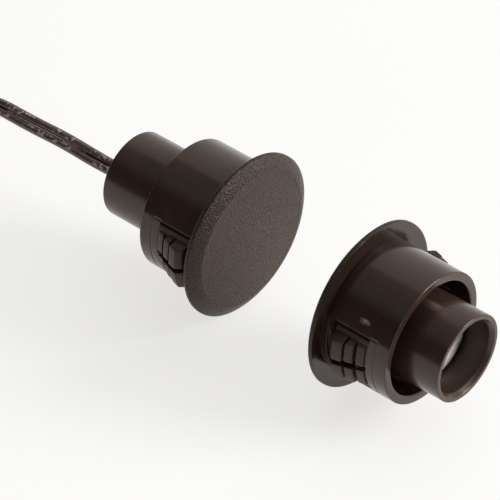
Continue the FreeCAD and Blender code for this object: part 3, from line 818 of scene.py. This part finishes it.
def catch(side, place, level):
    name = "%s_catch_%s_%s" % (side, place, level)
    turn = TURN if place == "front" else TURN + math.pi
    up = level == "upper"
    sign = 1 if up == ((side == "magnet") == (place == "front")) else -1
    seed = sum(ord(c) for c in name)
    rng = np.random.RandomState(seed)
    whole = bmesh.new()

    def add(profile_top, profile_bottom, t0, t1, count, width, seg=2, warp=None):
        v, f = slab(profile_top, profile_bottom, slices(t0, t1, count))
        if warp:
            v = [warp(p) for p in v]
        bm = bevelled(v, f, width, seg)
        me = bpy.data.meshes.new("tmp")
        bm.to_mesh(me)
        bm.free()
        whole.from_mesh(me)
        bpy.data.meshes.remove(me)

    # leaf: from the free end to the root, running on into the collar's band
    s_leaf = [2.0, 2.3, 2.8, 3.4, 4.0, 4.6, 5.2, 5.8, 6.4, 7.0, 7.5, 8.0, 8.3, 8.6, 8.9, 9.13]
    top = [(s, 12.45 if s < 8.5 else 12.45 + 0.03 * (s - 8.5) / 0.6) for s in s_leaf]
    bot = [(s, 11.15 if s < 7.9 else 11.15 - 0.0 * (s - 7.9)) for s in s_leaf]
    add(top, bot, 0.36, 5.4, 8, 0.07)
    def draft(front, rear, t_in, t_out, rtop):
        """Block sides lean in towards the top, a little unevenly."""
        lean = 0.10

        def warp(p):
            s, t, h = p
            r = math.hypot(t, h)
            k = max(0.0, (r - 12.5)) / max(0.2, rtop - 12.5)
            mid = (t_in + t_out) / 2
            t2 = mid + (t - mid) * (1 - lean * k / max(0.6, (t_out - t_in) / 2))
            s2 = s
            return (s2, t2, math.sqrt(max(r * r - t2 * t2, 0.01)))
        return warp

    j = [0.10 * float(x) for x in rng.uniform(-1, 1, 9)]
    sa = [(2.2, 13.68), (2.55, 13.98), (2.95, 14.33), (3.3, 14.58), (3.75, 14.45), (4.4, 14.29), (5.0, 14.12)]
    add(sa, [(s, 12.1) for s, _ in sa], 0.46 + 0.8 * j[0], 4.5 + 0.4 * j[1], 6, 0.10, 3,
        draft(2.2, 5.1, 0.35, 4.5, 14.6))
    sb = [(5.40, 13.85), (5.9, 13.72), (6.45, 13.58), (6.85, 13.47)]
    add(sb, [(s, 12.1) for s, _ in sb], 0.60 + 0.4 * j[2], 4.5 + 0.4 * j[3], 6, 0.08, 3,
        draft(5.35, 7.0, 0.6, 4.5, 13.85))
    sc = [(7.4, 13.13), (7.75, 13.02), (8.2, 12.9), (8.75, 12.75)]
    add(sc, [(s, 12.1) for s, _ in sc], 0.50 + 0.8 * j[4], 4.5 + 0.4 * j[5], 6, 0.07, 3,
        draft(7.2, 8.75, 0.4, 4.5, 13.15))
    me = bpy.data.meshes.new(name + "_part")
    whole.to_mesh(me)
    whole.free()
    ob = bpy.data.objects.new(name + "_part", me)
    bpy.context.scene.collection.objects.link(ob)
    if sign < 0:
        me.transform(Matrix.Scale(-1, 4, (0, 1, 0)))
        me.flip_normals()
    to_metres(ob, half_matrix(side, turn))
    smooth_by_angle(ob, 40)
    dress(ob, MAT["catch"])
    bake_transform(ob)
    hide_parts(name)
    return ob


# ------------------------------------------------------------------ tubes
def tube(side, end):
    profile = round_corners([
        (-0.8, 7.5, 0), (-0.8, 8.27, 0.12), (end, 8.27, 0.50 if side == "switch" else 0.20), (end, 7.42, 0.14), (end - 0.8, 6.84, 0.22),
        (-0.8, 6.83, 0.12), (-0.8, 7.5, 0)], 10)
    out = []
    for i in range(len(profile) - 1):
        (s0, r0), (s1, r1) = profile[i], profile[i + 1]
        out.append((s0, r0))
        if abs(s1 - s0) > 3:
            for k in range(1, 12):
                t = k / 12
                out.append((s0 + (s1 - s0) * t, r0 + (r1 - r0) * t))
    ob = lathe(side + "_capsule_tube", out, 168)
    to_metres(ob, half_matrix(side))
    smooth_by_angle(ob, 40)
    dress(ob, MAT["tube"])
    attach(ob, side + "_half")
    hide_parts(side + "_tube")
    return ob


def meniscus(name, s_back, s_face, radius, posts, climb, seed, side, mat, node):
    """Poured disc: flat in the middle, climbing a little at the wall and round each post (t, h, r)."""
    rng = np.random.RandomState(seed)
    ph = rng.uniform(0, 6.28, 6)
    rings, segs = 26, 144
    verts, faces = [], []

    def level(t, h):
        r = math.hypot(t, h)
        z = climb * math.exp(-(radius - r) / 0.55)
        for pt, phh, pr in posts:
            d = math.hypot(t - pt, h - phh) - pr
            z += 0.8 * climb * math.exp(-max(d, 0) / 0.4)
        z += 0.03 * math.sin(t * 0.6 + ph[0]) * math.sin(h * 0.5 + ph[1]) + 0.003 * math.sin(t * 1.3 + h * 0.9 + ph[2])
        return min(z, climb * 1.25)

    for i in range(rings + 1):
        r = radius * (1 - (1 - i / rings) ** 1.6)
        if i == 0:
            verts.append((s_face + level(0, 0), 0, 0))
            continue
        for k in range(segs):
            a = 2 * math.pi * k / segs
            t, h = r * math.sin(a), r * math.cos(a)
            verts.append((s_face + level(t, h), t, h))
    for k in range(segs):
        faces.append((0, 1 + k, 1 + (k + 1) % segs))
    for i in range(1, rings):
        a, b = 1 + (i - 1) * segs, 1 + i * segs
        for k in range(segs):
            k2 = (k + 1) % segs
            faces.append((a + k, b + k, b + k2, a + k2))
    edge = 1 + (rings - 1) * segs
    back = len(verts)
    for k in range(segs):
        a = 2 * math.pi * k / segs
        verts.append((s_back, radius * math.sin(a), radius * math.cos(a)))
    pole = len(verts)
    verts.append((s_back, 0, 0))
    for k in range(segs):
        k2 = (k + 1) % segs
        faces.append((edge + k, back + k, back + k2, edge + k2))
        faces.append((back + k, pole, back + k2))
    ob = mesh_object(name, verts, faces)
    outward(ob)
    to_metres(ob, half_matrix(side))
    smooth_by_angle(ob, 60)
    dress(ob, mat)
    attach(ob, side + "_half")
    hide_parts(node)
    return ob


for side in ("switch", "magnet"):
    collar(side)
    tube(side, 26.2 if side == "switch" else 21.1)
    for place in ("front", "back"):
        for level in ("upper", "lower"):
            catch(side, place, level)

meniscus("potting_fill", 21.5, 25.35, 6.80, [(-0.82, -1.6, 0.8), (0.82, -1.6, 0.8)], 0.22, 5,
         "switch", MAT["resin"], "potting_compound")


def bond_ring():
    """Cured adhesive between magnet and bore, its open end hollowed by the pull of both walls."""
    loop = [(0.02, 6.36), (7.5, 6.36), (15.16, 6.36), (15.06, 6.40), (14.98, 6.47), (14.95, 6.56), (14.97, 6.66), (15.06, 6.75),
            (15.18, 6.80), (7.5, 6.805), (0.02, 6.805)]
    ob = lathe("magnet_bond_ring", loop, 144)
    to_metres(ob, half_matrix("magnet"))
    smooth_by_angle(ob, 60)
    dress(ob, MAT["bond"])
    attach(ob, "magnet_half")
    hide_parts("magnet_adhesive")


def magnet_rod():
    """Plain round magnet with lightly tumbled edges."""
    loop = round_corners([(8.0, 0.0, 0), (0.0, 0.0, 0), (0.0, 6.35, 0.25), (15.5, 6.35, 0.22), (15.5, 0.0, 0)], 15)[1:]
    full = [(0.0, 0.0), (0.0, 3.2)] + [q for q in loop if q[1] > 3.3] + [(15.5, 3.2), (15.5, 0.0)]
    ob = lathe("magnet_rod", full, 144, closed=False)
    to_metres(ob, half_matrix("magnet"))
    smooth_by_angle(ob, 40)
    dress(ob, MAT["plating"])
    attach(ob, "magnet_half")
    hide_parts("magnet")


bond_ring()
magnet_rod()

# --------------------------------------------------------------- free leads
ROUTE_A = [(-37.55, 0.82, 14.2), (-46.0, 0.69, 14.38), (-55.0, 0.605, 14.98), (-64.0, 0.605, 14.45),
           (-73.0, 0.64, 14.50), (-81.5, 0.72, 11.5), (-88.5, 0.6, 5.8), (-95.0, 0.3, 2.1),
           (-101.5, 0.0, 1.12)]
ROUTE_B = [(-37.55, -0.82, 14.2), (-46.0, -0.69, 13.55), (-55.0, -0.605, 13.91), (-64.0, -0.605, 13.38),
           (-73.0, -0.64, 13.53), (-81.5, -0.72, 11.6), (-88.5, -0.55, 7.4), (-95.0, -0.3, 3.8),
           (-101.5, 0.0, 2.76)]
COIL_C = (-101.5, -12.71)
TURNS = 3.85
R_START, PITCH, PER_TURN = 12.71, 1.64, 16


def winding(z):
    """Points of the coil's turns: a flat spiral from its outside to its inside."""
    pts = []
    total = TURNS * 360.0
    steps = int(round(total / (360.0 / PER_TURN)))
    for k in range(1, steps + 1):
        phi = total * k / steps
        r = (R_START - PITCH * phi / 360.0) * 1.0194
        if k == steps:
            r /= 1.0194
        a = math.radians(90.0 + phi)
        pts.append((COIL_C[0] + r * math.cos(a), COIL_C[1] + r * math.sin(a), z))
    return pts


def lead(key, route, z, mat):
    pts = route + winding(z)
    cu = bpy.data.curves.new("lead_" + key, "CURVE")
    cu.dimensions = "3D"
    sp = cu.splines.new("NURBS")
    sp.points.add(len(pts) - 1)
    for p, q in zip(sp.points, pts):
        p.co = (q[0] * MM, q[1] * MM, q[2] * MM, 1.0)
    sp.order_u = 3
    sp.use_endpoint_u = True
    sp.resolution_u = 10
    sp.use_smooth = True
    cu.bevel_depth = 0.8 * MM
    cu.bevel_resolution = 8
    cu.use_fill_caps = True
    ob = bpy.data.objects.new("lead_" + key, cu)
    bpy.context.scene.collection.objects.link(ob)
    cu.materials.append(mat)
    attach(ob, "switch_half")
    return ob


def strands(key, z):
    """Seven twisted copper strands at a lead's stripped end, slightly fanned."""
    a = math.radians(36.0)
    start = Vector((COIL_C[0] + 6.4 * math.cos(a), COIL_C[1] + 6.4 * math.sin(a), z))
    tang = Vector((-math.sin(a), math.cos(a), 0))
    inward = Vector((-math.cos(a), -math.sin(a), 0))
    way = tang * math.cos(math.radians(25)) + inward * math.sin(math.radians(25))
    side = Vector((-way.y, way.x, 0))
    upv = Vector((0, 0, 1))
    bm = bmesh.new()
    for k in range(7):
        ring_r = 0.0 if k == 6 else 0.245
        ph = 2 * math.pi * k / 6
        rad = 0.118
        rows = []
        steps = 22
        for i in range(steps + 1):
            f = i / steps
            spread = 1.0 + 0.16 * f * f
            twist = ph + 2.4 * f
            c = start + way * (-0.3 + 4.9 * f) + (side * math.cos(twist) + upv * math.sin(twist)) * ring_r * spread
            ring = []
            for m in range(10):
                b = 2 * math.pi * m / 10
                ring.append(bm.verts.new(c + (side * math.cos(b) + upv * math.sin(b)) * rad))
            rows.append(ring)
        for i in range(steps):
            for m in range(10):
                m2 = (m + 1) % 10
                bm.faces.new((rows[i][m], rows[i][m2], rows[i + 1][m2], rows[i + 1][m]))
        bm.faces.new(list(reversed(rows[0])))
        bm.faces.new(rows[-1])
    bmesh.ops.recalc_face_normals(bm, faces=bm.faces)
    me = bpy.data.meshes.new("stripped_end_" + key)
    bm.to_mesh(me)
    bm.free()
    ob = bpy.data.objects.new("stripped_end_" + key, me)
    bpy.context.scene.collection.objects.link(ob)
    to_metres(ob)
    smooth_by_angle(ob, 50)
    dress(ob, MAT["copper"])
    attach(ob, "switch_half")
    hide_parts("wire_end_" + key)
    return ob


def tie():
    """Nylon tie round the ring of turns: a rounded flat band and its ratchet head."""
    lo_r, hi_r, z0, z1 = 4.92, 13.84, 0.16, 3.74
    bm = bmesh.new()
    loop = round_corners([(9.0, z0, 0), (hi_r - 0.12, z0, 1.2), (hi_r - 0.12, z1, 1.2), (lo_r + 0.1, z1, 1.2),
                          (lo_r + 0.1, z0, 1.2), (9.0, z0, 0)], 9)
    loop = loop[:-1]
    n = len(loop)
    th = 0.145
    half = 1.2
    rows = []
    for i in range(n):
        p0, p1, p2 = Vector(loop[i - 1]), Vector(loop[i]), Vector(loop[(i + 1) % n])
        d = ((p1 - p0).normalized() + (p2 - p1).normalized()).normalized()
        nn = Vector((d.y, -d.x))
        ring = []
        for (u, w) in ((-half, -th * 0.6), (-half * 0.93, -th), (half * 0.93, -th), (half, -th * 0.6),
                       (half, th * 0.6), (half * 0.93, th), (-half * 0.93, th), (-half, th * 0.6)):
            q = p1 + nn * w
            ring.append(bm.verts.new((q.x, u, q.y)))
        rows.append(ring)
    for i in range(n):
        a, b = rows[i], rows[(i + 1) % n]
        for k in range(8):
            k2 = (k + 1) % 8
            bm.faces.new((a[k], a[k2], b[k2], b[k]))
    # head
    hv = []
    for x in (13.75, 16.0):
        for y in (-1.9, 1.9):
            for z in (0.6, 3.4):
                hv.append((x, y, z))
    hf = [(0, 1, 3, 2), (4, 6, 7, 5), (0, 4, 5, 1), (2, 3, 7, 6), (0, 2, 6, 4), (1, 5, 7, 3)]
    head = bevelled(hv, hf, 0.35, 4)
    tmp = bpy.data.meshes.new("tmp")
    head.to_mesh(tmp)
    head.free()
    bm.from_mesh(tmp)
    bpy.data.meshes.remove(tmp)
    # cut tail stub through the head
    sv = [(x, y, z) for x in (14.35, 14.65) for y in (-1.15, 1.15) for z in (3.2, 3.95)]
    stub = bevelled(sv, hf, 0.08, 2)
    tmp = bpy.data.meshes.new("tmp")
    stub.to_mesh(tmp)
    stub.free()
    bm.from_mesh(tmp)
    bpy.data.meshes.remove(tmp)
    bmesh.ops.recalc_face_normals(bm, faces=bm.faces)
    me = bpy.data.meshes.new("coil_tie_band")
    bm.to_mesh(me)
    bm.free()
    ob = bpy.data.objects.new("coil_tie_band", me)
    bpy.context.scene.collection.objects.link(ob)
    m = Matrix.Translation((COIL_C[0], COIL_C[1], 0)) @ Matrix.Rotation(math.radians(250.0), 4, "Z")
    to_metres(ob, m)
    smooth_by_angle(ob, 50)
    dress(ob, MAT["nylon"])
    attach(ob, "switch_half")
    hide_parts("coil_tie")
    return ob


lead_a = lead("a", ROUTE_A, 1.12, MAT["wire_a"])
lead_b = lead("b", ROUTE_B, 2.76, MAT["wire_b"])
end_a = strands("a", 1.12)
end_b = strands("b", 2.76)
the_tie = tie()
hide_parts("lead_wire_a", "lead_coil")
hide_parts("lead_wire_b")

# ---------------------------------------------- finishes of the CAD's own pieces
FINISH = {
    "reed_glass": ("glass", "reed_glass"), "reed_buffer_sleeve": ("silicone", "silicone"),
    "reed_lead_front": ("steel", "reed_alloy"), "reed_lead_rear": ("steel", "reed_alloy"),
    "reed_blade_front": ("steel", "reed_alloy"), "reed_blade_rear": ("steel", "reed_alloy"),
    "lead_sleeve": ("sleeve", "sleeve_plastic"),
    "solder_joint_a": ("solder", "solder"), "solder_joint_b": ("solder", "solder"),
    "lead_core_a": ("copper", "copper_strand"), "lead_core_b": ("copper", "copper_strand"),
    "lead_tail_a": ("wire_a", "lead_insulation"), "lead_tail_b": ("wire_b", "lead_insulation"),
}
for node_name, (key, slot_name) in FINISH.items():
    ob = nodes[node_name]
    for s in ob.material_slots:
        s.material = MAT[key]
    if not ob.material_slots:
        ob.data.materials.append(MAT[key])

# ------------------------------------------------------------ floor and light
fl = bpy.data.meshes.new("floor")
fl.from_pydata([(-6, -6, 0), (6, -6, 0), (6, 6, 0), (-6, 6, 0)], [], [(0, 1, 2, 3)])
floor = bpy.data.objects.new("floor", fl)
bpy.context.scene.collection.objects.link(floor)
g = Nodes("floor_paper")
g.set("Base Color", g.mix(g.mapr(g.noise(6.0, 2.0), 0.3, 0.7, 0.0, 1.0), (0.35, 0.35, 0.345), (0.37, 0.37, 0.365)))
g.set("Roughness", g.mapr(g.noise(9.0, 2.0), 0.3, 0.7, 0.90, 0.98))
g.set("Emission Color", (1.0, 0.992, 0.975, 1.0))
g.set("Emission Strength", 0.70)
g.set("Specular IOR Level", 0.1)
fl.materials.append(g.mat)


def area(name, loc, target, size, power, colour=(1, 1, 1), size_y=None):
    li = bpy.data.lights.new(name, "AREA")
    li.shape = "RECTANGLE"
    li.size = size
    li.size_y = size_y or size
    li.energy = power
    li.color = colour
    ob = bpy.data.objects.new(name, li)
    bpy.context.scene.collection.objects.link(ob)
    ob.location = loc
    d = Vector(target) - Vector(loc)
    ob.rotation_euler = d.to_track_quat("-Z", "Y").to_euler()
    return ob


area("softbox_key", (0.78, 0.56, 0.42), (0, 0, 0.01), 0.42, 9.8, size_y=0.38)
area("softbox_low", (0.98, -0.20, 0.16), (0, 0, 0.015), 0.07, 0.40, size_y=0.06)

# studio surroundings: a bright sweep behind the object, a dim ceiling, a dark room in front
world = bpy.data.worlds.new("studio")
world.use_nodes = True
wt = world.node_tree
wt.nodes.clear()
w_out = wt.nodes.new("ShaderNodeOutputWorld")
w_bg = wt.nodes.new("ShaderNodeBackground")
w_co = wt.nodes.new("ShaderNodeTexCoord")
w_sep = wt.nodes.new("ShaderNodeSeparateXYZ")
wt.links.new(w_co.outputs["Generated"], w_sep.inputs[0])


def w_range(socket, a, b, c, d):
    m = wt.nodes.new("ShaderNodeMapRange")
    for key, v in (("From Min", a), ("From Max", b), ("To Min", c), ("To Max", d)):
        m.inputs[key].default_value = v
    wt.links.new(socket, m.inputs["Value"])
    return m.outputs["Result"]


def w_math(op, a, b):
    m = wt.nodes.new("ShaderNodeMath")
    m.operation = op
    for i, v in enumerate((a, b)):
        if isinstance(v, (int, float)):
            m.inputs[i].default_value = v
        else:
            wt.links.new(v, m.inputs[i])
    return m.outputs[0]


sweep = w_range(w_sep.outputs[1], 0.17, 0.25, 0.0, 1.0)
ceiling = w_range(w_sep.outputs[2], 0.60, 0.75, 0.0, 1.0)
dim = w_math("ADD", w_math("MULTIPLY", ceiling, 0.28), 0.05)
level = w_math("ADD", w_math("MULTIPLY", sweep, 0.80), w_math("MULTIPLY", w_math("SUBTRACT", 1.0, sweep), dim))
wt.links.new(level, w_bg.inputs["Strength"])
w_bg.inputs["Color"].default_value = (1.0, 0.995, 0.98, 1.0)
wt.links.new(w_bg.outputs[0], w_out.inputs[0])
bpy.context.scene.world = world
bpy.context.scene.view_settings.view_transform = "Standard"
